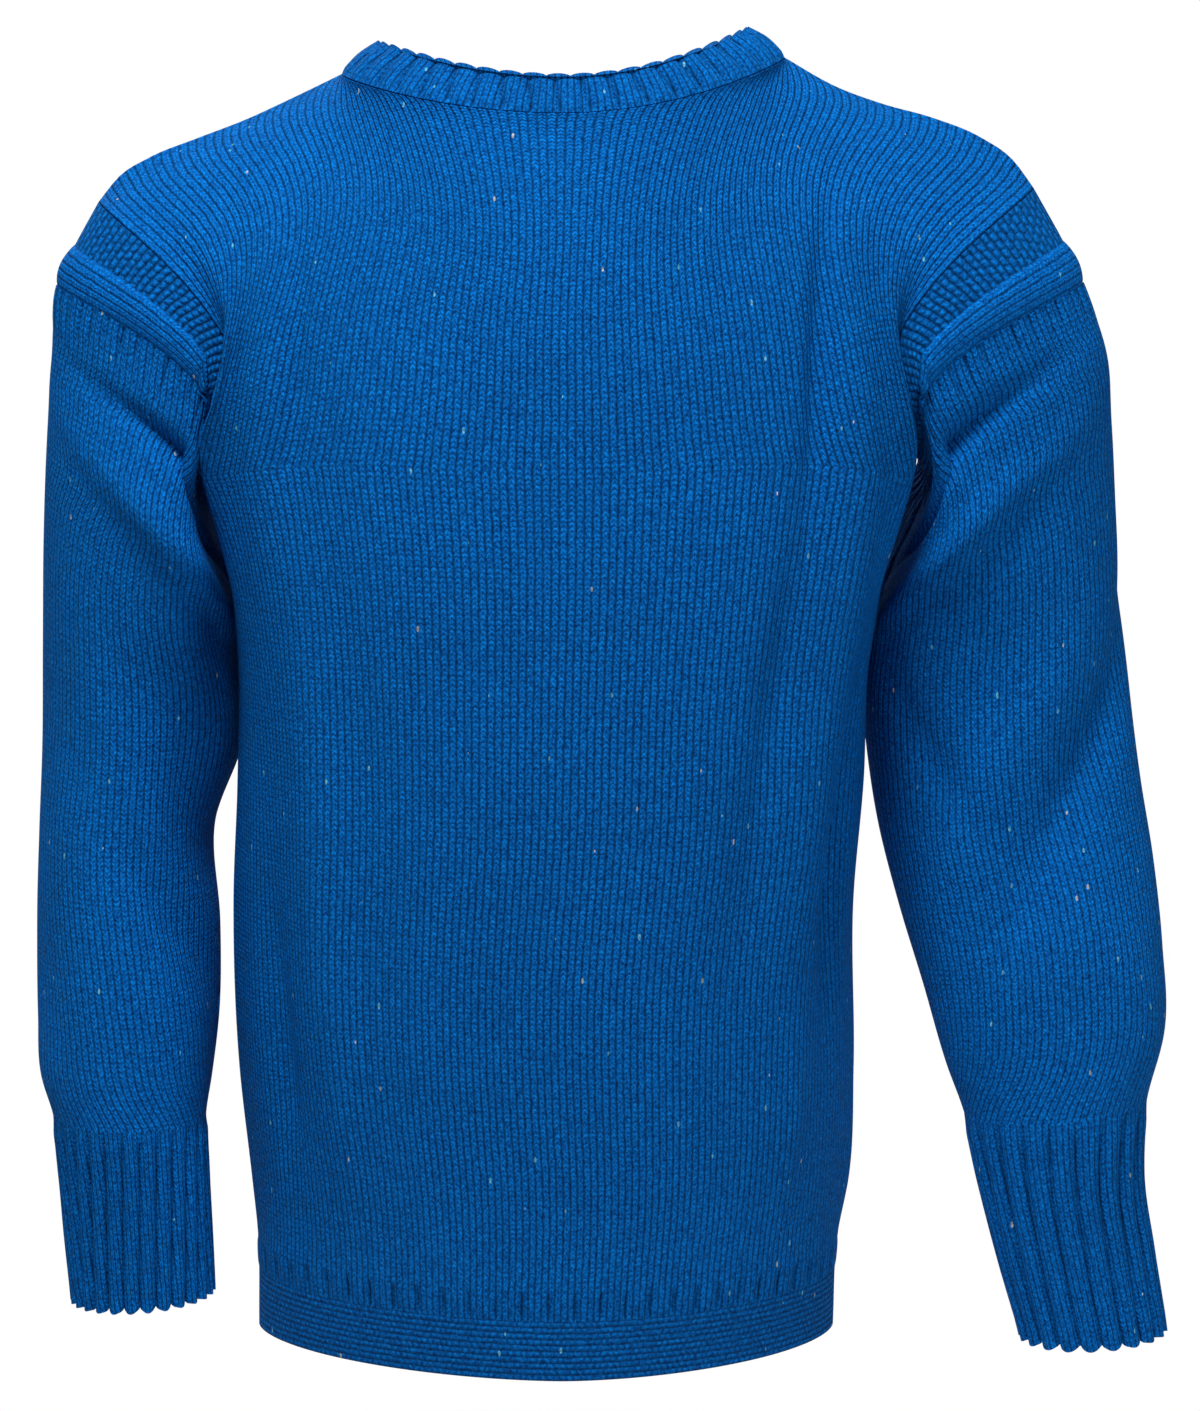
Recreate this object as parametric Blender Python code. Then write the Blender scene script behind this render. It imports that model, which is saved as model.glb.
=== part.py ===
"""Guernsey fisherman sweater, hollow and filled out as if worn.

Metres, +Z up, the front faces -Y. The origin is the middle of the neck at the height of the
neck seam's sides, where the wearer's shoulders hold the sweater. Every knitted piece is a thin
closed shell. Neighbouring pieces share their seam lines and stop just short of them.
"Left" and "right" are those of someone looking at the front: left is -X.
"""

import bpy
import numpy as np

for old_object in list(bpy.data.objects):
    bpy.data.objects.remove(old_object, do_unlink=True)

# Driving sizes
CLOTH = 0.0026
SEAM_GAP = 0.0003
CURVED_SEAM_TRIM = 0.0007
HEM_HEIGHT = -0.667
WELT_TOP = -0.635
RIB_TOP = -0.619
PIT_HEIGHT = -0.200
NECK_SHARE = 0.42

# How finely the shells are divided
ROWS_BELOW_PIT = 10
ROWS_OVER_PIT = 10
COLUMNS_PER_SHOULDER = 7
COLUMNS_AT_NECK = 10
ROUND_ARM = 2 * ROWS_OVER_PIT
RIM_ORDER = np.array([1.0, 1.7, 2.3])

# The body's rings, from the hem up: height, half width to each side, reach to front and back,
# and how square the ring is (2 is an ellipse)
BODY_COLUMNS = ("height", "left", "right", "front", "back", "square")
BODY_RINGS = (
    (-0.667, 0.163, 0.143, 0.104, 0.098, 1.7),
    (-0.619, 0.163, 0.145, 0.107, 0.100, 1.8),
    (-0.586, 0.166, 0.151, 0.110, 0.101, 1.9),
    (-0.525, 0.172, 0.153, 0.114, 0.102, 2.0),
    (-0.436, 0.174, 0.152, 0.117, 0.102, 2.1),
    (-0.370, 0.171, 0.157, 0.120, 0.102, 2.2),
    (-0.310, 0.170, 0.159, 0.122, 0.104, 2.3),
    (-0.250, 0.1745, 0.1695, 0.124, 0.110, 2.4),
    (-0.200, 0.171, 0.172, 0.124, 0.116, 2.4),
)

# The neckband's two edges: half width, reach to front and back, and height at the middle
# of the front and back, at the left side and at the right side
NECK_COLUMNS = ("wide", "front", "back", "middle", "left", "right")
NECK_EDGES = (
    (0.1130, 0.0880, 0.0840, -0.0200, -0.0030, 0.0055),
    (0.1040, 0.0835, 0.0800, -0.0120, 0.0065, 0.0145),
    (0.0940, 0.0790, 0.0760, -0.0042, 0.0130, 0.0200),
)

# The shoulder lines: share of the way from the neck to the armhole, heights left and right
SHOULDER_COLUMNS = ("along", "left", "right")
SHOULDER_LINE = (
    (0.00, -0.0030, 0.0055),
    (0.20, -0.0150, -0.0090),
    (0.40, -0.0265, -0.0185),
    (0.60, -0.0360, -0.0255),
    (0.80, -0.0460, -0.0360),
    (0.92, -0.0555, -0.0470),
    (1.00, -0.0680, -0.0610),
)

# The arms' rings, from the armhole to the wrist. Each ring runs round an outer point on the
# arm's outside and an inner point under the arm; "out" is the distance from the middle plane.
# front and back are the reach along Y from the ring's middle, "middle" is that middle's Y,
# and "inset" draws the ring's front and back towards the body.
ARM_COLUMNS = ("outer_out", "outer_height", "inner_out", "inner_height",
               "front", "back", "middle", "inset")
ARM_RINGS = {
    "left": (
        (0.2390, -0.0680, 0.1710, -0.2000, 0.064, 0.066, 0.000, 0.034),
        (0.2515, -0.0900, 0.1820, -0.1950, 0.060, 0.063, 0.000, 0.037),
        (0.2610, -0.1110, 0.1905, -0.2100, 0.056, 0.060, 0.000, 0.043),
        (0.2650, -0.1500, 0.1855, -0.2370, 0.060, 0.062, 0.003, 0.032),
        (0.2695, -0.1950, 0.1775, -0.2660, 0.065, 0.064, 0.012, 0.016),
        (0.2735, -0.2500, 0.1735, -0.3010, 0.068, 0.066, 0.024, 0.006),
        (0.2755, -0.3030, 0.1705, -0.3280, 0.066, 0.064, 0.030, 0.002),
        (0.2765, -0.3480, 0.1715, -0.3540, 0.064, 0.062, 0.030, 0.000),
        (0.2785, -0.3990, 0.1840, -0.4030, 0.061, 0.059, 0.024, 0.000),
        (0.2800, -0.4500, 0.1845, -0.4520, 0.057, 0.055, 0.014, 0.000),
        (0.2790, -0.4980, 0.1855, -0.5000, 0.053, 0.051, 0.004, 0.000),
        (0.2770, -0.5280, 0.1890, -0.5300, 0.048, 0.047, -0.003, 0.000),
        (0.2705, -0.5480, 0.1920, -0.5500, 0.043, 0.042, -0.008, 0.000),
        (0.2660, -0.5800, 0.1915, -0.5810, 0.038, 0.037, -0.014, 0.000),
        (0.2630, -0.6120, 0.1900, -0.6110, 0.036, 0.035, -0.019, 0.000),
        (0.2595, -0.6450, 0.1885, -0.6410, 0.036, 0.035, -0.024, 0.000),
    ),
    "right": (
        (0.2420, -0.0610, 0.1720, -0.2000, 0.064, 0.066, 0.000, 0.036),
        (0.2575, -0.0880, 0.1835, -0.1950, 0.060, 0.063, 0.000, 0.039),
        (0.2680, -0.1100, 0.1920, -0.2100, 0.056, 0.060, 0.000, 0.045),
        (0.2805, -0.1430, 0.1845, -0.2340, 0.059, 0.060, 0.003, 0.035),
        (0.2860, -0.1850, 0.1735, -0.2600, 0.061, 0.060, 0.015, 0.018),
        (0.2900, -0.2330, 0.1649, -0.2870, 0.060, 0.058, 0.024, 0.007),
        (0.2950, -0.2830, 0.1594, -0.3180, 0.056, 0.054, 0.030, 0.000),
        (0.3000, -0.3300, 0.1620, -0.3540, 0.052, 0.050, 0.030, 0.000),
        (0.3055, -0.3730, 0.1685, -0.3970, 0.049, 0.047, 0.024, 0.000),
        (0.3120, -0.4150, 0.1795, -0.4400, 0.048, 0.046, 0.014, 0.000),
        (0.3165, -0.4600, 0.1925, -0.4820, 0.047, 0.045, 0.004, 0.000),
        (0.3175, -0.5050, 0.2045, -0.5230, 0.045, 0.043, -0.003, 0.000),
        (0.3085, -0.5400, 0.2140, -0.5490, 0.041, 0.039, -0.008, 0.000),
        (0.3055, -0.5800, 0.2225, -0.5850, 0.036, 0.035, -0.014, 0.000),
        (0.3110, -0.6200, 0.2335, -0.6270, 0.034, 0.033, -0.019, 0.000),
        (0.3180, -0.6620, 0.2450, -0.6660, 0.034, 0.033, -0.024, 0.000),
    ),
}
UNDERARM_INSET = 0.3
BODY_EDGE, GARTER_EDGE, BAND_EDGE, CUFF_START, CUFF_END = 0, 1, 2, 12, 15

# Largest folds of the body: how far across (-1 left seam to 1 right seam) and how high the
# fold's middle is, the lean of its line (across for each metre up), its half width across,
# its half length, and how far it stands out (a trough has a minus sign)
FOLD_COLUMNS = ("across", "height", "lean", "width", "length", "out")
FRONT_FOLDS = (
    (-0.70, -0.185, 0.05, 0.09, 0.080, 0.011),
    (0.68, -0.190, -0.05, 0.09, 0.080, 0.010),
    (-0.56, -0.420, -0.25, 0.08, 0.170, 0.006),
    (0.66, -0.330, 0.45, 0.09, 0.130, 0.007),
)
BACK_FOLDS = (
    (-0.62, -0.240, 0.12, 0.10, 0.080, 0.006),
    (0.60, -0.230, -0.08, 0.10, 0.080, 0.006),
    (0.50, -0.430, 0.30, 0.09, 0.150, 0.006),
    (-0.60, -0.380, -0.40, 0.09, 0.120, 0.005),
)
FOLD_FADE = 0.08
ROWS_FADED = 4

# Largest folds of the sleeves: across is the turn round the arm, as in arm_ring
SLEEVE_FOLDS = {
    "left": (
        (0.20, -0.250, 0.60, 0.050, 0.060, 0.006),
        (0.15, -0.370, 0.80, 0.060, 0.050, -0.006),
        (0.72, -0.330, -0.60, 0.070, 0.060, -0.005),
        (0.90, -0.262, 0.00, 0.050, 0.040, 0.009),
    ),
    "right": (
        (0.30, -0.205, 0.60, 0.060, 0.050, -0.006),
        (0.33, -0.370, -1.20, 0.050, 0.080, -0.006),
        (0.75, -0.350, 0.80, 0.070, 0.070, -0.005),
        (0.90, -0.258, 0.00, 0.050, 0.040, 0.007),
    ),
}


def smooth_rows(places, rows, at):
    """Read a table smoothly between its rows: a cubic through every column."""
    places = np.asarray(places, dtype=float)
    rows = np.asarray(rows, dtype=float)
    at = np.clip(np.atleast_1d(at), places[0], places[-1])
    slopes = np.gradient(rows, places, axis=0)
    below = np.clip(np.searchsorted(places, at, side="right") - 1, 0, len(places) - 2)
    step = places[below + 1] - places[below]
    share = ((at - places[below]) / step)[:, None]
    rise = step[:, None]
    start = rows[below] * (1 + 2 * share) * (1 - share) ** 2
    end = rows[below + 1] * share ** 2 * (3 - 2 * share)
    leave = slopes[below] * rise * share * (1 - share) ** 2
    arrive = slopes[below + 1] * rise * share ** 2 * (share - 1)
    return start + end + leave + arrive


def quarter_point(wide, deep, square, share):
    """Point of a quarter ring from its middle (0, deep) to its side (wide, 0), by length."""
    angles = np.linspace(0.0, np.pi / 2, 121)
    power = 2.0 / square
    out = wide * np.abs(np.sin(angles)) ** power
    reach = deep * np.abs(np.cos(angles)).round(9) ** power
    covered = np.concatenate([[0.0], np.cumsum(np.hypot(np.diff(out), np.diff(reach)))])
    covered = covered / covered[-1]
    return np.interp(share, covered, out), np.interp(share, covered, reach)


def body_row(height, across, facing):
    """Points of a level row of the body; facing is "front" or "back"."""
    ring = dict(zip(BODY_COLUMNS, smooth_rows([row[0] for row in BODY_RINGS],
                                              BODY_RINGS, height)[0]))
    turn = -1.0 if facing == "front" else 1.0
    points = []
    for share in across:
        wide = ring["left"] if share < 0 else ring["right"]
        out, reach = quarter_point(wide, ring[facing], ring["square"], abs(share))
        points.append((np.sign(share) * out, turn * reach, height))
    return np.array(points)


def neck_row(edge, around, facing):
    """Points of half the neck, around from -1 at the left side to 1 at the right side."""
    size = dict(zip(NECK_COLUMNS, NECK_EDGES[edge]))
    turn = -1.0 if facing == "front" else 1.0
    points = []
    for share in around:
        out, reach = quarter_point(size["wide"], size[facing], 2.0, abs(share))
        side = size["left"] if share < 0 else size["right"]
        sideways = (out / size["wide"]) ** 2
        height = size["middle"] + (side - size["middle"]) * sideways
        points.append((np.sign(share) * out, turn * reach, height))
    return np.array(points)


def top_row(across, facing):
    """The body's top row: shoulder seam, neck edge, shoulder seam."""
    neck_wide = NECK_EDGES[0][0]
    points = []
    for share in across:
        if abs(share) <= NECK_SHARE:
            points.append(neck_row(0, [share / NECK_SHARE], facing)[0])
            continue
        side = "left" if share < 0 else "right"
        along = (abs(share) - NECK_SHARE) / (1 - NECK_SHARE)
        out = neck_wide + along * (ARM_RINGS[side][BODY_EDGE][0] - neck_wide)
        line = smooth_rows([row[0] for row in SHOULDER_LINE], SHOULDER_LINE, along)[0]
        height = dict(zip(SHOULDER_COLUMNS, line))[side]
        points.append((np.sign(share) * out, 0.0, height))
    return np.array(points)


def arm_ring(side, row, turns):
    """Points round an arm; turns go 0 under the arm, 0.25 front, 0.5 outside, 0.75 back."""
    ring = dict(zip(ARM_COLUMNS, row))
    angle = 2 * np.pi * np.asarray(turns)
    sign = -1.0 if side == "left" else 1.0
    middle_out = (ring["outer_out"] + ring["inner_out"]) / 2
    middle_height = (ring["outer_height"] + ring["inner_height"]) / 2
    half_out = (ring["inner_out"] - ring["outer_out"]) / 2
    half_height = (ring["inner_height"] - ring["outer_height"]) / 2
    reach = np.where(np.sin(angle) > 0, ring["front"], ring["back"])
    inset = ring["inset"] * np.sin(angle) ** 2
    inset = inset * (1 - (1 - UNDERARM_INSET) * np.clip(np.cos(angle), 0, 1))
    out = middle_out + half_out * np.cos(angle) - inset
    return np.stack([sign * out, ring["middle"] - reach * np.sin(angle),
                     middle_height + half_height * np.cos(angle)], axis=1)


def fold_height(folds, across, height):
    """How far the folds push points out, from their places across and their heights."""
    out = np.zeros(np.shape(across))
    for row in folds:
        fold = dict(zip(FOLD_COLUMNS, row))
        line = fold["across"] + fold["lean"] * (height - fold["height"])
        out = out + fold["out"] * np.exp(-((across - line) / fold["width"]) ** 2
                                         - ((height - fold["height"]) / fold["length"]) ** 2)
    return out


def across_shares():
    """Where the body's columns stand, from the left seam to the right seam."""
    left = np.linspace(-1, -NECK_SHARE, COLUMNS_PER_SHOULDER + 1)
    neck = np.linspace(-NECK_SHARE, NECK_SHARE, COLUMNS_AT_NECK + 1)
    return np.concatenate([left, neck[1:-1], -left[::-1]])


def yoke_rows(across, facing, steps):
    """Rows from the underarm to the top row; their ends follow the armholes."""
    base = body_row(PIT_HEIGHT, across, facing)
    top = top_row(across, facing)
    roundness = np.radians(np.interp(np.abs(across), [0.0, NECK_SHARE, 1.0], [50, 75, 90]))
    pull = (np.clip(np.abs(across) - 0.25, 0, 1) / 0.75) ** 2
    rows = []
    for share in steps:
        rise = share ** 0.8
        level = (1 - np.cos(roundness * rise)) / (1 - np.cos(roundness))
        upright = np.sin(roundness * rise) / np.sin(roundness)
        row = base + (top - base) * np.stack([level, level, upright], axis=1)
        turn = share / 2 if facing == "front" else 1 - share / 2
        for column, side in ((0, "left"), (-1, "right")):
            armhole = arm_ring(side, ARM_RINGS[side][BODY_EDGE], [turn])[0]
            half = (across < 0) if side == "left" else (across > 0)
            row = row + (pull * half)[:, None] * (armhole - row[column])
        rows.append(row)
    return rows


def body_panel(facing):
    """One half of the body from the rib to the top row."""
    across = across_shares()
    heights = np.linspace(RIB_TOP, PIT_HEIGHT, ROWS_BELOW_PIT + 1)
    rows = [body_row(height, across, facing) for height in heights]
    rows += yoke_rows(across, facing, np.linspace(0, 1, ROWS_OVER_PIT + 1)[1:])
    return np.array(rows)


def band_rows(low, high, facing, count):
    """A level strip of the body between two heights."""
    return np.array([body_row(height, across_shares(), facing)
                     for height in np.linspace(low, high, count)])


def arm_tube(side, first, last, rows_between):
    """Rings of an arm between two rows of its table."""
    table = np.array(ARM_RINGS[side])
    middles = (table[:, 0:2] + table[:, 2:4]) / 2
    along = np.concatenate([[0], np.cumsum(np.linalg.norm(np.diff(middles, axis=0), axis=1))])
    places = np.linspace(along[first], along[last], rows_between + 1)
    if last <= BAND_EDGE:
        places = np.interp(np.linspace(first, last, rows_between + 1), range(len(along)), along)
    turns = np.arange(ROUND_ARM) / ROUND_ARM
    return np.array([arm_ring(side, row, turns) for row in smooth_rows(along, table, places)])


def neck_tube():
    """The neckband's rings; the columns are those of the two neck edges of the body."""
    around = np.linspace(-1, 1, COLUMNS_AT_NECK + 1)
    rings = []
    for edge in range(len(NECK_EDGES)):
        front = neck_row(edge, around, "front")
        back = neck_row(edge, around[::-1], "back")
        rings.append(np.concatenate([front[:-1], back[:-1]]))
    return np.array(rings)


def grid_normals(grid, closes, outward):
    """Face normals of a grid, summed at its points."""
    after = np.roll(grid, -1, axis=1) if closes else grid[:, 1:]
    here = grid if closes else grid[:, :-1]
    faces = np.cross(after[1:] - here[:-1], here[1:] - after[:-1]) * outward
    sums = np.zeros_like(grid)
    for up in (0, 1):
        rows = slice(up, up + len(faces))
        if closes:
            sums[rows] += faces + np.roll(faces, 1, axis=1)
        else:
            sums[rows, :-1] += faces
            sums[rows, 1:] += faces
    return sums


def sewn_normals(pieces):
    """Unit normals of every grid, shared where the grids of neighbours meet."""
    sums = {}
    for name, piece in pieces.items():
        normals = grid_normals(piece["grid"], piece["closes"], piece["outward"])
        for point, normal in zip(piece["grid"].reshape(-1, 3), normals.reshape(-1, 3)):
            key = tuple(np.round(point, 5))
            sums[key] = sums.get(key, 0.0) + normal
    result = {}
    for name, piece in pieces.items():
        shared = [sums[tuple(np.round(point, 5))] for point in piece["grid"].reshape(-1, 3)]
        shared = np.array(shared) / np.linalg.norm(shared, axis=1, keepdims=True)
        result[name] = shared.reshape(piece["grid"].shape)
    return result


def drawn_back(grid, closes, start_trim):
    """Draw a grid's open edges back along the cloth; start_trim is for its first row."""
    grid = grid.copy()
    edges = [(0, 1), (-1, -2)]
    if not closes:
        edges += [(np.s_[:, 0], np.s_[:, 1]), (np.s_[:, -1], np.s_[:, -2])]
    for edge, inside in edges:
        seam = grid[edge]
        line = np.roll(seam, -1, axis=0) - np.roll(seam, 1, axis=0) if closes \
            else np.gradient(seam, axis=0)
        line = line / np.linalg.norm(line, axis=-1, keepdims=True)
        way = grid[inside] - seam
        way = way - line * (way * line).sum(axis=-1, keepdims=True)
        way = way / np.linalg.norm(way, axis=-1, keepdims=True)
        grid[edge] = seam + way * (start_trim if edge == 0 else SEAM_GAP / 2)
    return grid


def cloth_material(name, colour):
    """A plain wool finish."""
    material = bpy.data.materials.new(name)
    material.use_nodes = True
    shader = material.node_tree.nodes["Principled BSDF"]
    shader.inputs["Base Color"].default_value = (*colour, 1.0)
    shader.inputs["Roughness"].default_value = WOOL_ROUGHNESS
    shader.inputs["Metallic"].default_value = 0.0
    return material


def cloth_shell(name, grid, normals, piece):
    """A closed wall of cloth on both sides of a grid, as one object."""
    rows, columns = grid.shape[:2]
    half_wall = normals * CLOTH / 2
    sides = np.concatenate([(grid + half_wall).reshape(-1, 3),
                            (grid - half_wall).reshape(-1, 3)])
    inside = rows * columns
    last_column = columns if piece["closes"] else columns - 1
    rims = []
    for column in range(last_column):
        right = (column + 1) % columns
        rims.append((right, column))
        rims.append(((rows - 1) * columns + column, (rows - 1) * columns + right))
    if not piece["closes"]:
        for row in range(rows - 1):
            rims.append((row * columns, (row + 1) * columns))
            rims.append(((row + 2) * columns - 1, (row + 1) * columns - 1))
    faces = []
    middles = grid.reshape(-1, 3) @ RIM_ORDER
    for start, end in rims:
        # both neighbours split their facing rims along the same diagonal
        if middles[start] < middles[end]:
            faces.append((start, end, inside + end))
            faces.append((start, inside + end, inside + start))
        else:
            faces.append((start, end, inside + start))
            faces.append((end, inside + end, inside + start))
    for row in range(rows - 1):
        for column in range(last_column):
            right = (column + 1) % columns
            quad = (row * columns + column, row * columns + right,
                    (row + 1) * columns + right, (row + 1) * columns + column)
            faces.append(quad)
            faces.append(tuple(inside + corner for corner in reversed(quad)))
    if piece["outward"] < 0:
        faces = [tuple(reversed(face)) for face in faces]
    mesh = bpy.data.meshes.new(name)
    mesh.from_pydata(sides.tolist(), [], faces)
    mesh.update()
    mesh.shade_smooth()
    mesh.set_sharp_from_angle(angle=np.radians(50))
    mesh.materials.append(cloth_material(name + "_wool", piece["colour"]))
    shell = bpy.data.objects.new(name, mesh)
    bpy.context.scene.collection.objects.link(shell)
    return shell


# The middle surface of every piece, its cloth, and the way its grid faces
BLUE = (0.006, 0.115, 0.440)
DEEP_BLUE = (0.004, 0.075, 0.330)
WOOL_ROUGHNESS = 0.85


def piece_of(grid, closes, outward, colour=BLUE, start_trim=SEAM_GAP / 2):
    """One knitted piece before it has its wall."""
    return {"grid": grid, "closes": closes, "outward": outward, "colour": colour,
            "start_trim": start_trim}


PIECES = {"neckband": piece_of(neck_tube(), True, 1, colour=DEEP_BLUE)}
for facing, turn in (("front", 1), ("back", -1)):
    PIECES["welt_" + facing] = piece_of(band_rows(HEM_HEIGHT, WELT_TOP, facing, 3),
                                        False, turn, colour=DEEP_BLUE)
    PIECES["hem_rib_" + facing] = piece_of(band_rows(WELT_TOP, RIB_TOP, facing, 2),
                                           False, turn, colour=DEEP_BLUE)
    PIECES["body_" + facing] = piece_of(body_panel(facing), False, turn)
for arm, turn in (("left", 1), ("right", -1)):
    PIECES["armhole_garter_" + arm] = piece_of(arm_tube(arm, BODY_EDGE, GARTER_EDGE, 2), True,
                                               turn, DEEP_BLUE, CURVED_SEAM_TRIM)
    PIECES["armhole_band_" + arm] = piece_of(arm_tube(arm, GARTER_EDGE, BAND_EDGE, 2),
                                             True, turn)
    PIECES["sleeve_" + arm] = piece_of(arm_tube(arm, BAND_EDGE, CUFF_START, 15), True, turn,
                                       BLUE, CURVED_SEAM_TRIM)
    PIECES["cuff_" + arm] = piece_of(arm_tube(arm, CUFF_START, CUFF_END, 5),
                                     True, turn, colour=DEEP_BLUE)

# Push the largest folds out of the plain surfaces, away from the seams
plain_normals = sewn_normals(PIECES)
for facing, folds in (("front", FRONT_FOLDS), ("back", BACK_FOLDS)):
    panel = PIECES["body_" + facing]
    across = np.broadcast_to(across_shares(), panel["grid"].shape[:2])
    height = panel["grid"][:, :, 2]
    fade = np.clip((1 - np.abs(across)) / FOLD_FADE, 0, 1)
    fade = fade * np.clip((height - RIB_TOP) / FOLD_FADE, 0, 1)
    fade = fade * np.clip(np.arange(len(height))[::-1] / ROWS_FADED, 0, 1)[:, None]
    push = (fold_height(folds, across, height) * fade)[:, :, None]
    panel["grid"] = panel["grid"] + push * plain_normals["body_" + facing]
for arm, folds in SLEEVE_FOLDS.items():
    sleeve = PIECES["sleeve_" + arm]
    rows = len(sleeve["grid"])
    turns = np.broadcast_to(np.arange(ROUND_ARM) / ROUND_ARM, (rows, ROUND_ARM))
    from_ends = np.minimum(np.arange(rows), np.arange(rows)[::-1])[:, None]
    push = fold_height(folds, turns, sleeve["grid"][:, :, 2]) * np.clip(from_ends / 2, 0, 1)
    sleeve["grid"] = sleeve["grid"] + push[:, :, None] * plain_normals["sleeve_" + arm]

shared_normals = sewn_normals(PIECES)
for name, piece in PIECES.items():
    grid = drawn_back(piece["grid"], piece["closes"], piece["start_trim"])
    cloth_shell(name, grid, shared_normals[name], piece)
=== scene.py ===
"""Guernsey fisherman sweater in blue heathered wool, hollow and filled out as if worn.

Metres, +Z up, the front faces -Y. "left" and "right" are those of someone looking at the
front, so left is -X. Each piece is a thin shell of knitting on the form of its CAD solid.
"""

import bpy
import numpy as np
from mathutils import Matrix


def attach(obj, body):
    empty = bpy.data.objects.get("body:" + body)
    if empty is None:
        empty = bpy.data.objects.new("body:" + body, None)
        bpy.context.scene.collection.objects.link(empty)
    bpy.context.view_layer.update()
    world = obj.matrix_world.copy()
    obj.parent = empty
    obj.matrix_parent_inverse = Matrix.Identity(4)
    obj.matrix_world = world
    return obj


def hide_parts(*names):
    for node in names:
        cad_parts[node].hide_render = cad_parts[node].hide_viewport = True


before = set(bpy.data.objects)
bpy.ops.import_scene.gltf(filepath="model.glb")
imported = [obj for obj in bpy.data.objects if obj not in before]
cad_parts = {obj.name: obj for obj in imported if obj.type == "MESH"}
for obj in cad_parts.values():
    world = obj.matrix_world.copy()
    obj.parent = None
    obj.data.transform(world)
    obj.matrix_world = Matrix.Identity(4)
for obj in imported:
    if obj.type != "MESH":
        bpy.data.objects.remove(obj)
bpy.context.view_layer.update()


# ---- Camera, light and floor -------------------------------------------------------------------
# A plain pale studio: one broad soft light above the front and weak light from all round.
# The sweater is seen from straight ahead, a little above its neck, with a long lens.
camera_data = bpy.data.cameras.new("camera")
camera_data.sensor_fit = "HORIZONTAL"
camera_data.sensor_width = 36.0
camera_data.lens = 135.6
camera_data.clip_end = 50.0
camera = bpy.data.objects.new("camera", camera_data)
camera.location = (0.019, -2.35, 0.04)
camera.rotation_euler = (np.radians(90 - 8.98), 0.0, 0.0)
bpy.context.scene.collection.objects.link(camera)
bpy.context.scene.camera = camera

for light_name, place, aim, size, power in (
    ("light_above", (-0.35, -1.00, 1.60), (0.0, 0.0, -0.10), 0.8, 50.0),
    ("light_side", (1.60, -1.60, 0.60), (0.0, 0.0, -0.20), 0.9, 13.0),
    ("light_behind", (-0.50, 1.80, 0.90), (0.0, 0.0, -0.25), 1.2, 16.0),
):
    lamp_data = bpy.data.lights.new(light_name, "AREA")
    lamp_data.shape = "DISK"
    lamp_data.size = size
    lamp_data.energy = power
    lamp = bpy.data.objects.new(light_name, lamp_data)
    lamp.location = place
    way = np.array(aim) - np.array(place)
    lamp.rotation_euler = (np.arctan2(np.hypot(way[0], way[1]), -way[2]), 0.0,
                           np.arctan2(way[1], way[0]) - np.pi / 2)
    bpy.context.scene.collection.objects.link(lamp)

# the white of the paper behind is seen as it is, but lights the sweater only weakly
world = bpy.data.worlds.new("studio")
world.use_nodes = True
studio = world.node_tree
weak = studio.nodes["Background"]
weak.inputs["Color"].default_value = (0.95, 0.97, 1.0, 1.0)
weak.inputs["Strength"].default_value = 0.24
paper = studio.nodes.new("ShaderNodeBackground")
paper.inputs["Color"].default_value = (1.0, 1.0, 1.0, 1.0)
seen = studio.nodes.new("ShaderNodeLightPath")
either = studio.nodes.new("ShaderNodeMixShader")
studio.links.new(seen.outputs["Is Camera Ray"], either.inputs[0])
studio.links.new(weak.outputs[0], either.inputs[1])
studio.links.new(paper.outputs[0], either.inputs[2])
studio.links.new(either.outputs[0], studio.nodes["World Output"].inputs["Surface"])
bpy.context.scene.world = world
bpy.context.scene.view_settings.view_transform = "Standard"

bpy.ops.mesh.primitive_plane_add(size=2.2, location=(0.0, 0.0, -1.10))
floor = bpy.context.object
floor.name = "floor"
floor_finish = bpy.data.materials.new("floor_pale")
floor_finish.use_nodes = True
floor_shader = floor_finish.node_tree.nodes["Principled BSDF"]
floor_shader.inputs["Base Color"].default_value = (0.92, 0.92, 0.92, 1.0)
floor_shader.inputs["Roughness"].default_value = 0.9
floor.data.materials.append(floor_finish)


# ---- Body: front and back ------------------------------------------------------------------------
# Two panels of stocking stitch, knitted up from the rib and grafted at the shoulders. The wool
# is heathered and flecked. It falls from the chest in a few soft folds beside the arms.
CLOTH = 0.0026
WALE = 0.00374
COURSE = 0.0026
BODY_WALES = 120
RIB_TOP, PIT_HEIGHT = -0.619, -0.200
NECK_SHARE = 0.42
COLUMNS_PER_SHOULDER, COLUMNS_AT_NECK = 36, 88
ROWS_BELOW_PIT, ROWS_OVER_PIT = 100, 60
# over the armpits each side is pulled to its armhole, more and more from this place outwards
PULL_FROM = 0.25
# the cloth can't turn a corner where the neck ends and the shoulder seam begins, so the yoke
# is evened out this many times
SOFTENING = 160
# folds fade out this near a seam: a share of the half width, and metres over the rib
SEAM_FADE, RIB_FADE = 0.08, 0.08

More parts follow.
